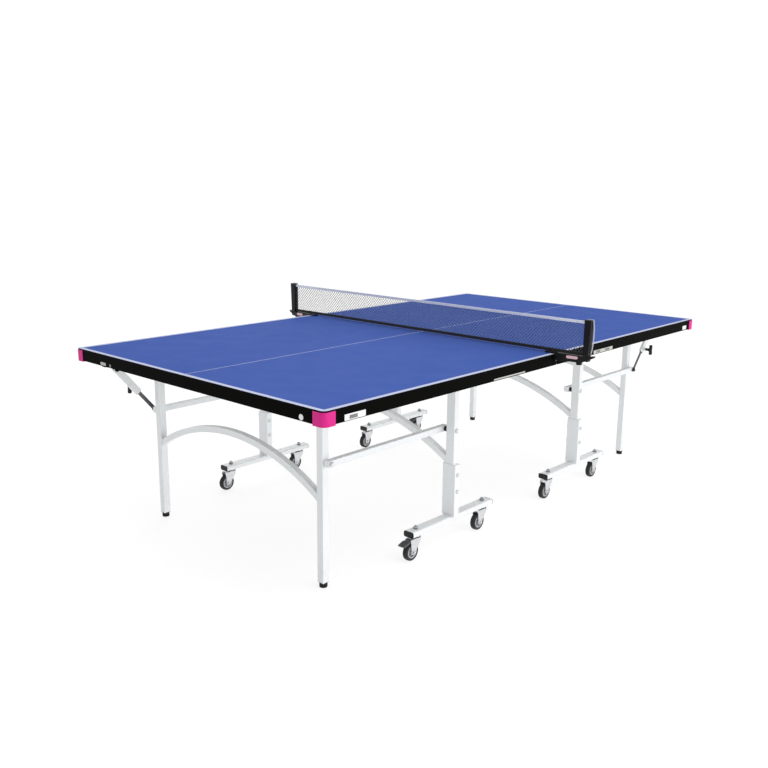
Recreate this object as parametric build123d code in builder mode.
"""Folding ping pong table on a wheeled undercarriage, in millimetres.

+X runs along the table's length, +Z is up, and the origin is on the floor under the net.
The near half lies at X < 0. Each of its pieces is made once and turned 180 degrees about Z
for the far half. Y distances of the side frames are given outward from the centre plane.
"""
import os
from math import hypot

from build123d import *

os.makedirs("parts", exist_ok=True)

# Playing top
table_length = 2740
table_width = 1525
table_height = 760
board_thickness = 19
seam_half_gap = 2.6
top_corner_radius = 20

# Steel edge frame under each board
frame_height = 31
frame_wall = 2
edge_rail_width = 20
cross_rail_width = 30
net_end_setback = 3.4
middle_rail_x = -811

# Corner guards
guard_reach = 50
guard_wall = 2.5
guard_drop = 54
guard_top_gap = 5
guard_lip = 12

# Fold linkage, all pivots in one X-Z plane layout
post_x = -487
leg_x = -1135
top_pivot_z = 690
link_pivot_z = 485
stay_pivot_x = -1310
pin_clearance = 0.1
link_hole_clearance = 0.25

# End legs
leg_size = 32
tube_wall = 2
leg_outward = 508
leg_top_above_pivot = 9
foot_height = 20
foot_radius = 15
leg_pin_radius = 5
arch_tube = 25
leg_arch_foot_z = 347
leg_arch_top_z = 488

# Undercarriage
post_width = 42
post_depth = 28
post_outward = 588
post_top_above_pivot = 10
post_bottom_z = 128
post_pin_radius = 6
post_arch_foot_z = 360
post_arch_top_z = 520
sleeve_width = 65
sleeve_depth = 32
sleeve_top_z = 343
sleeve_play = 0.4
bar_width = 50
bar_height = 25
bar_corner = 8
bar_top_z = 124
bar_near_x = -220
bar_far_x = -750
bar_cap_thickness = 3
bar_plug_length = 20
sleeve_bolt_heights = (301, 229)
sleeve_bolt_radius = 4
link_bolt_radius = 5

# Link bars and folding stay
link_size = 25
link_outward = 539
link_overhang = 14
link_leg_overhang = 10
ear_thickness = 3
ear_gap = 1.5
stay_outward = 555
channel_width = 30
channel_depth = 12
channel_length = 155
rod_width = 16
rod_thickness = 4
rod_length = 253
stay_pin_radius = 4
handle_distance = 134
handle_stem_radius = 5
handle_collar_radius = 9
handle_collar_length = 14
handle_neck_radius = 7
grip_outward = 604
grip_length = 54
grip_radius = 8.5

# Castors, around the swivel axis with the wheel trailing towards -X
outer_castor_x = -706
inner_castor_x = -266
castor_trail = 30
wheel_radius = 37.5
wheel_width = 24
tyre_inner_radius = 26
axle_radius = 4
fork_gap = 27
fork_plate = 2.5
crown_bottom_z = 88
crown_top_z = 91
race_top_z = 98.6
race_radius = 19
stem_radius = 5
stem_head_z = 83
stem_nut_height = 14
pedal_pivot = (-38, 84)
pedal_pin_radius = 3

# Net set
net_height = 152.5
net_outward = 889
net_bottom_gap = 5
net_thickness = 2
net_post_width = 25
net_post_foot_depth = 24
net_post_head_depth = 31
net_post_bottom_z = 744
net_post_top_z = 918
arm_near_x = 24
arm_far_x = -28
arm_bottom_z = 736
arm_top_z = 764
arm_tip_outward = 936
tip_bottom_z = 762
tip_top_z = 770
tongue_inner = 700
tongue_bottom_z = 716
top_plate_inner = 715
top_plate_thickness = 8
mount_screw_outward = (715, 744)
mount_screw_z = 727
mount_screw_radius = 2
height_screw_outward = 868
height_screw_radius = 4
height_screw_end_z = 760

# Worked out from the driving dimensions
half_width = table_width / 2
end_x = -table_length / 2
board_bottom_z = table_height - board_thickness
frame_bottom_z = board_bottom_z - frame_height
leg_bottom_z = foot_height
leg_inner = leg_outward - leg_size / 2
leg_outer = leg_outward + leg_size / 2
post_inner = post_outward - post_width / 2
post_outer = post_outward + post_width / 2
link_inner = link_outward - link_size / 2
link_outer = link_outward + link_size / 2


def save(piece, name, turn=0, place=(0, 0, 0)):
    """Turn a finished piece about Z, move it to its place, label it and write its STEP file."""
    placed = piece.rotate(Axis.Z, turn).moved(Location(place))
    placed.label = name
    export_step(placed, f"parts/{name}.step")


def facing_y(side, outward):
    """A plane in X-Z whose sketches extrude outward, away from the table's centre plane."""
    direction = (0, side, 0)
    return Plane(origin=(0, side * outward, 0), x_dir=(1, 0, 0), z_dir=direction)


def at_height(side, x, z):
    """Sketch coordinates of a point in X-Z on a facing_y plane, whose Y axis flips with side."""
    return (x, -side * z)


def round_bar(side, x, z, inner, outer, radius, mode=Mode.ADD):
    """A cylinder along Y from inner to outer."""
    with BuildSketch(facing_y(side, inner)) as disc:
        with Locations(at_height(side, x, z)):
            Circle(radius)
    extrude(disc.sketch, amount=outer - inner, mode=mode)


def ear(side, x, z, top_z, inner, width, thickness):
    """A hinge ear: a plate with a round end about the pivot."""
    with BuildSketch(facing_y(side, inner)) as plate:
        with Locations(at_height(side, x, (z + top_z) / 2)):
            Rectangle(width, top_z - z)
        with Locations(at_height(side, x, z)):
            Circle(width / 2)
    extrude(plate.sketch, amount=thickness)


def half_outline(near_face_x, inset):
    """The outline of one half of the top, its two end corners rounded."""
    length = near_face_x - end_x - 2 * inset
    with Locations(((near_face_x + end_x) / 2, 0)):
        Rectangle(length, table_width - 2 * inset)
    radius = top_corner_radius - inset
    if radius > 0:
        fillet(vertices().group_by(Axis.X)[0], radius)


def top_board():
    with BuildPart() as board:
        with BuildSketch(Plane.XY.offset(board_bottom_z)):
            half_outline(-seam_half_gap, 0)
        extrude(amount=board_thickness)
    return board.part


def apron_frame():
    """Edge rails, three cross rails and the hinge ears with their riveted pins."""
    near_face_x = -seam_half_gap - net_end_setback
    rail_top_inside_z = board_bottom_z - frame_wall
    with BuildPart() as frame:
        with BuildSketch(Plane.XY.offset(frame_bottom_z)):
            half_outline(near_face_x, 0)
        extrude(amount=frame_height)
        with BuildSketch(Plane.XY.offset(frame_bottom_z)):
            half_outline(near_face_x, edge_rail_width)
        extrude(amount=frame_height, mode=Mode.SUBTRACT)
        with BuildSketch(Plane.XY.offset(frame_bottom_z + frame_wall)):
            half_outline(near_face_x, frame_wall)
        extrude(amount=frame_height - 2 * frame_wall, mode=Mode.SUBTRACT)
        for rail_x in (post_x, middle_rail_x, leg_x):
            with BuildSketch(Plane.XY.offset(frame_bottom_z)):
                with Locations((rail_x, 0)):
                    Rectangle(cross_rail_width, table_width - 2 * frame_wall)
            extrude(amount=frame_height)
            with BuildSketch(Plane.XY.offset(frame_bottom_z)):
                with Locations((rail_x, 0)):
                    Rectangle(cross_rail_width - 2 * frame_wall, table_width - 2 * edge_rail_width)
            extrude(amount=frame_height - frame_wall, mode=Mode.SUBTRACT)
        ear_width = cross_rail_width - 2 * frame_wall
        for side in (-1, 1):
            ear(side, leg_x, top_pivot_z, rail_top_inside_z,
                leg_inner - ear_gap - ear_thickness, ear_width, ear_thickness)
            ear(side, leg_x, top_pivot_z, rail_top_inside_z, leg_outer + ear_gap, ear_width, ear_thickness)
            ear(side, post_x, top_pivot_z, rail_top_inside_z,
                post_inner - ear_gap - ear_thickness, ear_width, ear_thickness)
            ear(side, post_x, top_pivot_z, rail_top_inside_z, post_outer + ear_gap, ear_width, ear_thickness)
            leg_pin_start = leg_inner - ear_gap - ear_thickness
            round_bar(side, leg_x, top_pivot_z, leg_pin_start, leg_outer + ear_gap + ear_thickness,
                      leg_pin_radius)
            round_bar(side, leg_x, top_pivot_z, leg_pin_start - 4, leg_pin_start, leg_pin_radius + 4)
            post_pin_end = post_outer + ear_gap + ear_thickness
            round_bar(side, post_x, top_pivot_z, post_inner - ear_gap - ear_thickness, post_pin_end,
                      post_pin_radius)
            round_bar(side, post_x, top_pivot_z, post_pin_end, post_pin_end + 5, post_pin_radius + 4)
            for outward in mount_screw_outward:
                with Locations((near_face_x, side * outward, mount_screw_z)):
                    Cylinder(mount_screw_radius + pin_clearance, 2 * frame_wall + 2,
                             rotation=(0, 90, 0), mode=Mode.SUBTRACT)
        stay_bracket(side=1)
    return frame.part


def stay_bracket(side):
    """The bracket under the end rail that holds the upper pivot of the folding stay."""
    plate_top_z = frame_bottom_z
    plate_thickness = 4
    bracket_ear = 3.5
    ear_play = 1.5
    inner = stay_outward - channel_depth / 2 - ear_play - bracket_ear
    outer = stay_outward + channel_depth / 2 + ear_play + bracket_ear
    with BuildSketch(Plane.XY.offset(plate_top_z - plate_thickness)) as plate:
        with Locations((stay_pivot_x - 18, side * stay_outward)):
            Rectangle(76, outer - inner + 6)
    extrude(plate.sketch, amount=plate_thickness)
    for start in (inner, outer - bracket_ear):
        ear(side, stay_pivot_x, top_pivot_z, plate_top_z - plate_thickness, start, 22, bracket_ear)
    round_bar(side, stay_pivot_x, top_pivot_z, inner, outer, stay_pin_radius)
    round_bar(side, stay_pivot_x, top_pivot_z, outer, outer + 4, stay_pin_radius + 3)


def guard_outline(side, grow, reach):
    """An L-shaped corner region: a square of the given reach, its outer corner rounded."""
    low_x = end_x - grow
    high_x = end_x + reach
    outer_y = half_width + grow
    inner_y = half_width - reach
    radius = top_corner_radius + grow
    with BuildLine() as outline:
        Polyline((low_x + radius, side * outer_y), (high_x, side * outer_y), (high_x, side * inner_y),
                 (low_x, side * inner_y), (low_x, side * (outer_y - radius)))
        RadiusArc((low_x, side * (outer_y - radius)), (low_x + radius, side * outer_y), side * radius)
    make_face(outline.edges())


def corner_guards():
    """Soft wrap-round guards on the two end corners, with a lip under the frame."""
    bottom_z = table_height - guard_drop
    height = guard_drop - guard_top_gap
    lip_height = frame_bottom_z - bottom_z
    with BuildPart() as guards:
        for side in (-1, 1):
            with BuildSketch(Plane.XY.offset(bottom_z)):
                guard_outline(side, guard_wall, guard_reach)
            extrude(amount=height)
            with BuildSketch(Plane.XY.offset(bottom_z + lip_height)):
                guard_outline(side, 0, guard_reach)
            extrude(amount=height - lip_height, mode=Mode.SUBTRACT)
            with BuildSketch(Plane.XY.offset(bottom_z)):
                lip_offset = guard_lip + guard_reach / 2
                with Locations((end_x + lip_offset, side * (half_width - lip_offset))):
                    Rectangle(guard_reach, guard_reach)
            extrude(amount=lip_height, mode=Mode.SUBTRACT)
    return guards.part


def legs():
    """Two square tube legs with the shoulder studs that carry the links and the stay."""
    leg_top_z = top_pivot_z + leg_top_above_pivot
    stud_play = 0.3
    stud_end = stay_outward + rod_thickness / 2 + stud_play
    stud_head = 4.5
    washer_radius = 8
    rod_inner = stay_outward - rod_thickness / 2
    with BuildPart() as pair:
        for side in (-1, 1):
            with BuildSketch(Plane.XY.offset(leg_bottom_z)):
                with Locations((leg_x, side * leg_outward)):
                    RectangleRounded(leg_size, leg_size, 3)
                    Rectangle(leg_size - 2 * tube_wall, leg_size - 2 * tube_wall, mode=Mode.SUBTRACT)
            extrude(amount=leg_top_z - leg_bottom_z)
            round_bar(side, leg_x, top_pivot_z, leg_inner - 1, leg_outer + 1,
                      leg_pin_radius + pin_clearance, mode=Mode.SUBTRACT)
            round_bar(side, leg_x, link_pivot_z, leg_outer - tube_wall, link_inner - stud_play,
                      washer_radius)
            round_bar(side, leg_x, link_pivot_z, link_outer + stud_play, rod_inner - stud_play,
                      washer_radius)
            round_bar(side, leg_x, link_pivot_z, leg_outer, stud_end, link_bolt_radius)
            round_bar(side, leg_x, link_pivot_z, stud_end, stud_end + stud_head, 9)
    return pair.part


def arch(x, foot_outward, foot_z, top_z):
    """A square tube bent in one arc between a pair of uprights."""
    rise = top_z - foot_z
    bend = (foot_outward ** 2 + rise ** 2) / (2 * rise)
    centre_z = top_z - bend
    with BuildPart() as tube:
        for size, mode in ((arch_tube, Mode.ADD), (arch_tube - 2 * tube_wall, Mode.SUBTRACT)):
            with BuildSketch(Plane.YZ.offset(x - size / 2)):
                with Locations((0, centre_z)):
                    Circle(bend + size / 2)
                    Circle(bend - size / 2, mode=Mode.SUBTRACT)
                with Locations((0, top_z)):
                    Rectangle(2 * foot_outward, 2 * rise + 3 * arch_tube, mode=Mode.INTERSECT)
            extrude(amount=size, mode=mode)
    return tube.part


def leg_feet():
    plug_size = leg_size - 2 * tube_wall - 0.6
    with BuildPart() as feet:
        for side in (-1, 1):
            with Locations((leg_x, side * leg_outward, 0)):
                Cylinder(foot_radius, foot_height, align=(Align.CENTER, Align.CENTER, Align.MIN))
        fillet(feet.edges().group_by(Axis.Z)[0], 3)
        for side in (-1, 1):
            with BuildSketch(Plane.XY.offset(foot_height)):
                with Locations((leg_x, side * leg_outward)):
                    Rectangle(plug_size, plug_size)
            extrude(amount=leg_size)
    return feet.part


def posts():
    """Upright tubes of the undercarriage, drilled for the hinge pin, link bolt and sleeve bolts."""
    with BuildPart() as pair:
        for side in (-1, 1):
            with BuildSketch(Plane.XY.offset(post_bottom_z)):
                with Locations((post_x, side * post_outward)):
                    RectangleRounded(post_depth, post_width, 3)
                    Rectangle(post_depth - 2 * tube_wall, post_width - 2 * tube_wall, mode=Mode.SUBTRACT)
            extrude(amount=top_pivot_z + post_top_above_pivot - post_bottom_z)
            holes = [(top_pivot_z, post_pin_radius), (link_pivot_z, link_bolt_radius)]
            holes += [(height, sleeve_bolt_radius) for height in sleeve_bolt_heights]
            for height, radius in holes:
                round_bar(side, post_x, height, post_inner - 1, post_outer + 1,
                          radius + pin_clearance, mode=Mode.SUBTRACT)
    return pair.part


def castor_feet():
    """Each foot is a castor bar with the post's sleeve welded on top."""
    bar_middle_z = bar_top_z - bar_height / 2
    bar_length = bar_near_x - bar_far_x - 2 * bar_cap_thickness
    with BuildPart() as feet:
        for side in (-1, 1):
            with BuildSketch(Plane.XY.offset(bar_top_z - tube_wall)):
                with Locations((post_x, side * post_outward)):
                    RectangleRounded(sleeve_depth, sleeve_width, 3)
            extrude(amount=sleeve_top_z - bar_top_z + tube_wall)
            with BuildSketch(Plane.YZ.offset(bar_far_x + bar_cap_thickness)):
                with Locations((side * post_outward, bar_middle_z)):
                    RectangleRounded(bar_width, bar_height, bar_corner)
            extrude(amount=bar_length)
            with BuildSketch(Plane.YZ.offset(bar_far_x + bar_cap_thickness)):
                with Locations((side * post_outward, bar_middle_z)):
                    RectangleRounded(bar_width - 2 * tube_wall, bar_height - 2 * tube_wall,
                                     bar_corner - tube_wall)
            extrude(amount=bar_length, mode=Mode.SUBTRACT)
            with BuildSketch(Plane.XY.offset(bar_top_z)):
                with Locations((post_x, side * post_outward)):
                    Rectangle(post_depth + sleeve_play, post_width + sleeve_play)
            extrude(amount=sleeve_top_z - bar_top_z, mode=Mode.SUBTRACT)
            sleeve_inner = post_outward - sleeve_width / 2
            for height in sleeve_bolt_heights:
                round_bar(side, post_x, height, sleeve_inner - 1, sleeve_inner + sleeve_width + 1,
                          sleeve_bolt_radius + pin_clearance, mode=Mode.SUBTRACT)
            for castor_x in (outer_castor_x, inner_castor_x):
                with Locations((castor_x, side * post_outward, bar_middle_z)):
                    Cylinder(stem_radius + pin_clearance, 2 * bar_height, mode=Mode.SUBTRACT)
    return feet.part


def bar_caps():
    """Moulded plugs in both ends of each castor bar."""
    bar_middle_z = bar_top_z - bar_height / 2
    plug_play = 0.5
    plug_width = bar_width - 2 * tube_wall - plug_play
    plug_height = bar_height - 2 * tube_wall - plug_play
    with BuildPart() as caps:
        for side in (-1, 1):
            for start_x, inward in ((bar_far_x, 1), (bar_near_x, -1)):
                with BuildSketch(Plane.YZ.offset(start_x)):
                    with Locations((side * post_outward, bar_middle_z)):
                        RectangleRounded(bar_width, bar_height, bar_corner)
                extrude(amount=inward * bar_cap_thickness)
                with BuildSketch(Plane.YZ.offset(start_x)):
                    with Locations((side * post_outward, bar_middle_z)):
                        RectangleRounded(plug_width, plug_height, bar_corner - tube_wall)
                extrude(amount=inward * bar_plug_length)
    return caps.part


def carriage_bolts():
    """Link bolts, sleeve bolts and castor stems with their nuts."""
    link_play = 0.3
    head_height = 6
    sleeve_inner = post_outward - sleeve_width / 2
    sleeve_outer = post_outward + sleeve_width / 2
    nut_height = 4.5
    with BuildPart() as bolts:
        for side in (-1, 1):
            round_bar(side, post_x, link_pivot_z, link_inner - link_play, post_outer, link_bolt_radius)
            round_bar(side, post_x, link_pivot_z, post_outer, post_outer + head_height, 9)
            round_bar(side, post_x, link_pivot_z, link_outer + link_play, post_inner, 8)
            round_bar(side, post_x, link_pivot_z, link_inner - link_play - head_height,
                      link_inner - link_play, 8.5)
            for height in sleeve_bolt_heights:
                round_bar(side, post_x, height, sleeve_inner, sleeve_outer, sleeve_bolt_radius)
                round_bar(side, post_x, height, sleeve_outer, sleeve_outer + nut_height, 8)
                round_bar(side, post_x, height, sleeve_inner - nut_height, sleeve_inner, 7.5)
            for castor_x in (outer_castor_x, inner_castor_x):
                spot = (castor_x, side * post_outward)
                with BuildSketch(Plane.XY.offset(stem_head_z)):
                    with Locations(spot):
                        Circle(9)
                extrude(amount=crown_bottom_z - 0.3 - stem_head_z)
                with BuildSketch(Plane.XY.offset(stem_head_z)):
                    with Locations(spot):
                        Circle(stem_radius)
                extrude(amount=bar_top_z + stem_nut_height - stem_head_z)
                with BuildSketch(Plane.XY.offset(bar_top_z)):
                    with Locations(spot):
                        RegularPolygon(9.5, 6)
                extrude(amount=stem_nut_height - 4)
    return bolts.part


def link_bars():
    """Square tubes that hold the legs parallel to the posts while a half folds."""
    first_x = leg_x - link_leg_overhang
    length = post_x + link_overhang - first_x
    with BuildPart() as links:
        for side in (-1, 1):
            with BuildSketch(Plane.YZ.offset(first_x)):
                with Locations((side * link_outward, link_pivot_z)):
                    RectangleRounded(link_size, link_size, 2.5)
                    Rectangle(link_size - 2 * tube_wall, link_size - 2 * tube_wall, mode=Mode.SUBTRACT)
            extrude(amount=length)
            round_bar(side, post_x, link_pivot_z, link_inner - 1, link_outer + 1,
                      link_bolt_radius + pin_clearance, mode=Mode.SUBTRACT)
            round_bar(side, leg_x, link_pivot_z, link_inner - 1, link_outer + 1,
                      link_bolt_radius + link_hole_clearance, mode=Mode.SUBTRACT)
    return links.part


# The stay runs from its upper pivot on the frame down to the link stud on the leg.
stay_upper = Vector(stay_pivot_x, 0, top_pivot_z)
stay_lower = Vector(leg_x, 0, link_pivot_z)
stay_run = stay_lower - stay_upper
stay_length = hypot(stay_run.X, stay_run.Z)
stay_down = stay_run.normalized()
stay_side = 1


def stay_plane(start, direction, outward):
    """A plane along the stay, whose sketches extrude outward."""
    origin = (start.X, stay_side * outward, start.Z)
    return Plane(origin=origin, x_dir=direction, z_dir=(0, stay_side, 0))


def stay_channel():
    """The upper, hollow half of the stay, with the collar of its lock handle."""
    inner = stay_outward - channel_depth / 2
    cavity_width = channel_width - 4
    with BuildPart() as channel:
        with BuildSketch(stay_plane(stay_upper, stay_down, inner)):
            with Locations((channel_length / 2, 0)):
                Rectangle(channel_length, channel_width)
            Circle(channel_width / 2)
        extrude(amount=channel_depth)
        with BuildSketch(stay_plane(stay_upper, stay_down, inner + channel_depth)):
            with Locations((handle_distance, 0)):
                Circle(handle_collar_radius)
        extrude(amount=handle_collar_length)
        with BuildSketch(stay_plane(stay_upper, stay_down, inner + tube_wall)):
            with Locations((channel_length / 2, 0)):
                Rectangle(channel_length + channel_width, cavity_width)
        extrude(amount=channel_depth - 2 * tube_wall, mode=Mode.SUBTRACT)
        with BuildSketch(stay_plane(stay_upper, stay_down, inner)):
            Circle(stay_pin_radius + pin_clearance)
        extrude(amount=channel_depth, mode=Mode.SUBTRACT)
        with BuildSketch(stay_plane(stay_upper, stay_down, stay_outward)):
            with Locations((handle_distance, 0)):
                Circle(handle_stem_radius + pin_clearance)
        extrude(amount=channel_depth + handle_collar_length, mode=Mode.SUBTRACT)
    return channel.part


def stay_rod():
    """The lower half of the stay, a flat bar that slides in the channel."""
    inner = stay_outward - rod_thickness / 2
    eye_radius = 11
    with BuildPart() as rod:
        with BuildSketch(stay_plane(stay_lower, -stay_down, inner)):
            with Locations((rod_length / 2, 0)):
                Rectangle(rod_length, rod_width)
            Circle(eye_radius)
            Circle(link_bolt_radius + pin_clearance, mode=Mode.SUBTRACT)
        extrude(amount=rod_thickness)
    return rod.part


def stay_handle():
    """A pull handle with an upright grip on the stem of its lock plunger."""
    spot = stay_upper + stay_down * handle_distance
    stem_start = stay_outward + rod_thickness / 2 + 0.6
    neck_start = stay_outward + channel_depth / 2 + handle_collar_length + 2
    with BuildPart() as handle:
        round_bar(stay_side, spot.X, spot.Z, stem_start, grip_outward, handle_stem_radius)
        round_bar(stay_side, spot.X, spot.Z, neck_start, grip_outward, handle_neck_radius)
        with BuildSketch(Plane.XY.offset(spot.Z - grip_length / 2)):
            with Locations((spot.X, stay_side * grip_outward)):
                Circle(grip_radius)
        extrude(amount=grip_length)
        fillet(handle.edges().group_by(Axis.Z)[0] + handle.edges().group_by(Axis.Z)[-1], 3)
    return handle.part


def castor_fork(with_brake):
    """A swivel fork with its bearing race and riveted axle, about the swivel axis."""
    plate_start = fork_gap / 2
    with BuildPart() as fork:
        with BuildSketch(Plane.XY.offset(crown_bottom_z)):
            with Locations((-8, 0)):
                RectangleRounded(50, fork_gap + 2 * fork_plate, 6)
        extrude(amount=crown_top_z - crown_bottom_z)
        with BuildSketch(Plane.XY.offset(crown_top_z)):
            Circle(race_radius)
        extrude(amount=race_top_z - crown_top_z)
        for side in (-1, 1):
            with BuildSketch(facing_y(side, plate_start)):
                with BuildLine():
                    Polyline(at_height(side, 16, crown_top_z), at_height(side, 16, crown_bottom_z - 7),
                             at_height(side, -castor_trail + 11, wheel_radius - 4),
                             at_height(side, -castor_trail - 10, wheel_radius - 4),
                             at_height(side, -castor_trail - 13, crown_bottom_z - 12),
                             at_height(side, -castor_trail - 15, crown_bottom_z - 8),
                             at_height(side, -castor_trail - 15, crown_top_z), close=True)
                make_face()
                with Locations(at_height(side, -castor_trail, wheel_radius)):
                    Circle(11)
            extrude(amount=fork_plate)
            round_bar(side, -castor_trail, wheel_radius, 0, plate_start + fork_plate, axle_radius)
            round_bar(side, -castor_trail, wheel_radius, plate_start + fork_plate,
                      plate_start + fork_plate + 3, 7)
            if with_brake:
                round_bar(side, *pedal_pivot, 0, plate_start + fork_plate, pedal_pin_radius)
        with Locations((0, 0, crown_bottom_z)):
            Cylinder(stem_radius + pin_clearance, 2 * race_radius, mode=Mode.SUBTRACT)
    return fork.part


def wheel_ring(outer, inner, width):
    """A ring about the castor's axle."""
    with BuildSketch(facing_y(1, -width / 2)) as ring:
        with Locations(at_height(1, -castor_trail, wheel_radius)):
            Circle(outer)
            Circle(inner, mode=Mode.SUBTRACT)
    extrude(ring.sketch, amount=width)


def castor_tyre():
    with BuildPart() as tyre:
        wheel_ring(wheel_radius, tyre_inner_radius, wheel_width - 2)
        fillet(tyre.edges().sort_by(SortBy.LENGTH)[-2:], 4)
    return tyre.part


def castor_hub():
    """A moulded hub: rim, thin web and bored boss."""
    bore = axle_radius + pin_clearance
    with BuildPart() as hub:
        wheel_ring(tyre_inner_radius, tyre_inner_radius - 5, wheel_width - 3)
        wheel_ring(tyre_inner_radius - 4, bore, 6)
        wheel_ring(9, bore, wheel_width)
    return hub.part


def brake_pedal():
    """A foot pedal whose shoe presses on the tyre."""
    pivot_x, pivot_z = pedal_pivot
    arm_width = fork_gap - 1
    pad_width = 34
    with BuildPart() as pedal:
        with BuildSketch(facing_y(1, -arm_width / 2)):
            with BuildLine():
                Polyline(at_height(1, pivot_x + 1, pivot_z + 5.5), at_height(1, pivot_x - 22, pivot_z + 1),
                         at_height(1, pivot_x - 22, pivot_z - 5), at_height(1, pivot_x - 14, pivot_z - 6.5),
                         at_height(1, pivot_x, pivot_z - 5.5), close=True)
            make_face()
            with Locations(at_height(1, pivot_x, pivot_z)):
                Circle(5.5)
                Circle(pedal_pin_radius + pin_clearance, mode=Mode.SUBTRACT)
        extrude(amount=arm_width)
        with BuildSketch(facing_y(1, -pad_width / 2)):
            with BuildLine():
                Polyline(at_height(1, pivot_x - 18, pivot_z + 2), at_height(1, pivot_x - 48, pivot_z - 8),
                         at_height(1, pivot_x - 49, pivot_z - 12), at_height(1, pivot_x - 40, pivot_z - 11),
                         at_height(1, pivot_x - 18, pivot_z - 5), close=True)
            make_face()
        extrude(amount=pad_width)
    return pedal.part


def outline_prism(plane, points, amount):
    """A prism on a plane from the corner points of its outline."""
    with BuildSketch(plane) as outline:
        with BuildLine() as edge:
            Polyline(*points, close=True)
        make_face(edge.edges())
    return extrude(outline.sketch, amount=amount, mode=Mode.PRIVATE)


def net_bracket_arm(side):
    """The arm that carries a net post, tapered in plan and swept up to its tip."""
    inner = half_width + 0.7
    half_post = net_post_width / 2
    plan = outline_prism(Plane.XY.offset(arm_bottom_z), [
        (arm_far_x, side * inner), (arm_near_x, side * inner), (half_post, side * net_outward),
        (half_post - 3, side * arm_tip_outward), (3 - half_post, side * arm_tip_outward),
        (-half_post, side * net_outward)], tip_top_z - arm_bottom_z)
    profile = outline_prism(Plane.YZ.offset(arm_far_x), [
        (side * inner, arm_bottom_z), (side * inner, arm_top_z),
        (side * (net_outward + 15), arm_top_z), (side * arm_tip_outward, tip_top_z),
        (side * arm_tip_outward, tip_bottom_z), (side * (net_outward - 9), arm_bottom_z)],
        arm_near_x - arm_far_x)
    return plan & profile


def net_posts():
    """The two net posts on their brackets, each screwed to the net-end rail of the near half."""
    plate_near_x = -3
    plate_far_x = -24
    plate_outer = half_width + 3.7
    web_thickness = 3
    web_bottom_z = 728
    rail_face_x = -seam_half_gap - net_end_setback
    screw_length = 8
    with BuildPart() as pair:
        for side in (-1, 1):
            add(net_bracket_arm(side))
            add(outline_prism(Plane.YZ.offset(-net_post_width / 2), [
                (side * net_outward, net_post_bottom_z),
                (side * (net_outward + net_post_foot_depth), net_post_bottom_z),
                (side * (net_outward + net_post_head_depth), net_post_top_z),
                (side * net_outward, net_post_top_z)], net_post_width))
            top_plate_top_z = table_height + top_plate_thickness
            tongue_top_z = board_bottom_z - 3
            for inner, outer, far_x, low_z, high_z in (
                    (top_plate_inner, plate_outer, plate_far_x, table_height, top_plate_top_z),
                    (plate_outer - web_thickness, plate_outer, plate_far_x, web_bottom_z, top_plate_top_z),
                    (tongue_inner, half_width, rail_face_x, tongue_bottom_z, tongue_top_z),
                    (half_width, half_width + 2, rail_face_x, web_bottom_z, tongue_top_z)):
                with BuildSketch(Plane.XY.offset(low_z)) as plate:
                    with Locations(((far_x + plate_near_x) / 2, side * (inner + outer) / 2)):
                        Rectangle(plate_near_x - far_x, outer - inner)
                extrude(plate.sketch, amount=high_z - low_z)
            for outward in mount_screw_outward:
                with Locations((rail_face_x - screw_length / 2 + 1, side * outward, mount_screw_z)):
                    Cylinder(mount_screw_radius, screw_length, rotation=(0, 90, 0))
            with BuildSketch(Plane.XY.offset(arm_bottom_z)) as bore:
                with Locations((0, side * height_screw_outward)):
                    Circle(height_screw_radius + pin_clearance)
            extrude(bore.sketch, amount=height_screw_end_z + 0.5 - arm_bottom_z, mode=Mode.SUBTRACT)
    return pair.part


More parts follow.
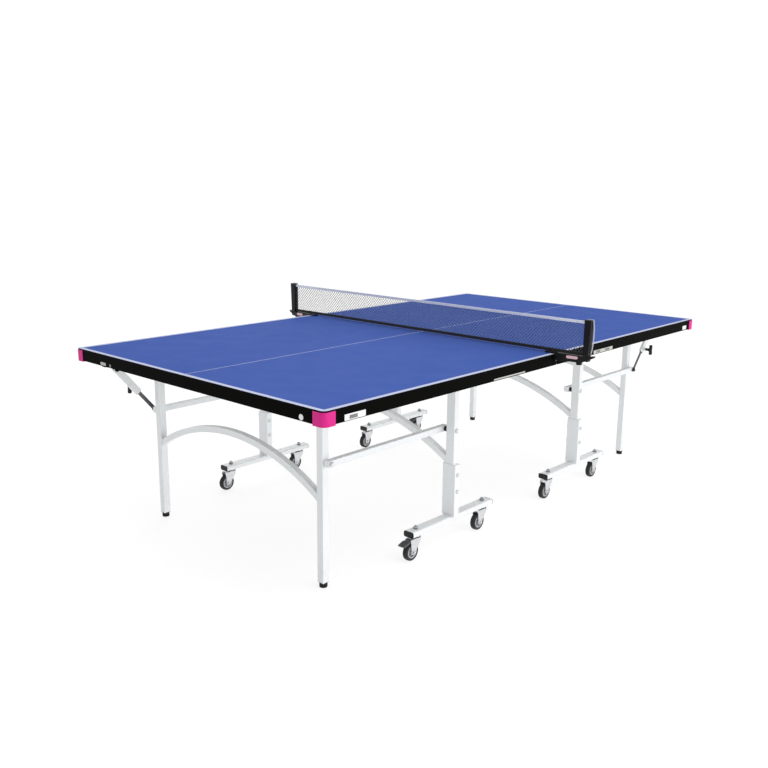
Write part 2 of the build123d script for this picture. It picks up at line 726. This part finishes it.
def net_mesh():
    net_top_z = table_height + net_height
    net_bottom_z = table_height + net_bottom_gap
    with BuildPart() as net:
        with BuildSketch(Plane.XY.offset(net_bottom_z)):
            Rectangle(net_thickness, 2 * net_outward)
        extrude(amount=net_top_z - net_bottom_z)
    return net.part


def height_screw(side):
    """The thumb screw under a net bracket that holds the post at its height."""
    knob_bottom_z = 725
    knob_top_z = 735
    knob_radius = 11
    lobe_radius = 2.5
    spot = (0, side * height_screw_outward)
    with BuildPart() as screw:
        with BuildSketch(Plane.XY.offset(knob_bottom_z)):
            with Locations(spot):
                Circle(height_screw_radius)
        extrude(amount=height_screw_end_z - knob_bottom_z)
        with BuildSketch(Plane.XY.offset(knob_bottom_z)):
            with Locations(spot):
                Circle(knob_radius)
                with PolarLocations(knob_radius - 1, 6):
                    Circle(lobe_radius)
        extrude(amount=knob_top_z - knob_bottom_z)
    return screw.part


half_pieces = {
    "top_board": top_board(),
    "apron_frame": apron_frame(),
    "corner_guards": corner_guards(),
    "legs": legs(),
    "leg_arch": arch(leg_x, leg_inner, leg_arch_foot_z, leg_arch_top_z),
    "leg_feet": leg_feet(),
    "posts": posts(),
    "post_arch": arch(post_x, post_inner, post_arch_foot_z, post_arch_top_z),
    "castor_feet": castor_feet(),
    "bar_caps": bar_caps(),
    "carriage_bolts": carriage_bolts(),
    "link_bars": link_bars(),
    "stay_channel": stay_channel(),
    "stay_rod": stay_rod(),
    "stay_handle": stay_handle(),
}

castor_spots = [(outer_castor_x, -post_outward), (outer_castor_x, post_outward),
                (inner_castor_x, -post_outward), (inner_castor_x, post_outward)]

for half, turn, facing in (("near", 0, 1), ("far", 180, -1)):
    for name, piece in half_pieces.items():
        save(piece, f"{half}_{name}", turn)
    for number, (x, y) in enumerate(castor_spots, start=1):
        place = (facing * x, facing * y, 0)
        save(castor_fork(with_brake=number == 1), f"{half}_castor_{number}_fork", place=place)
        save(castor_tyre(), f"{half}_castor_{number}_tyre", place=place)
        save(castor_hub(), f"{half}_castor_{number}_hub", place=place)
        if number == 1:
            save(brake_pedal(), f"{half}_brake_pedal", place=place)

save(net_posts(), "net_posts")
save(net_mesh(), "net_mesh")
save(height_screw(-1), "near_side_height_screw")
save(height_screw(1), "far_side_height_screw")
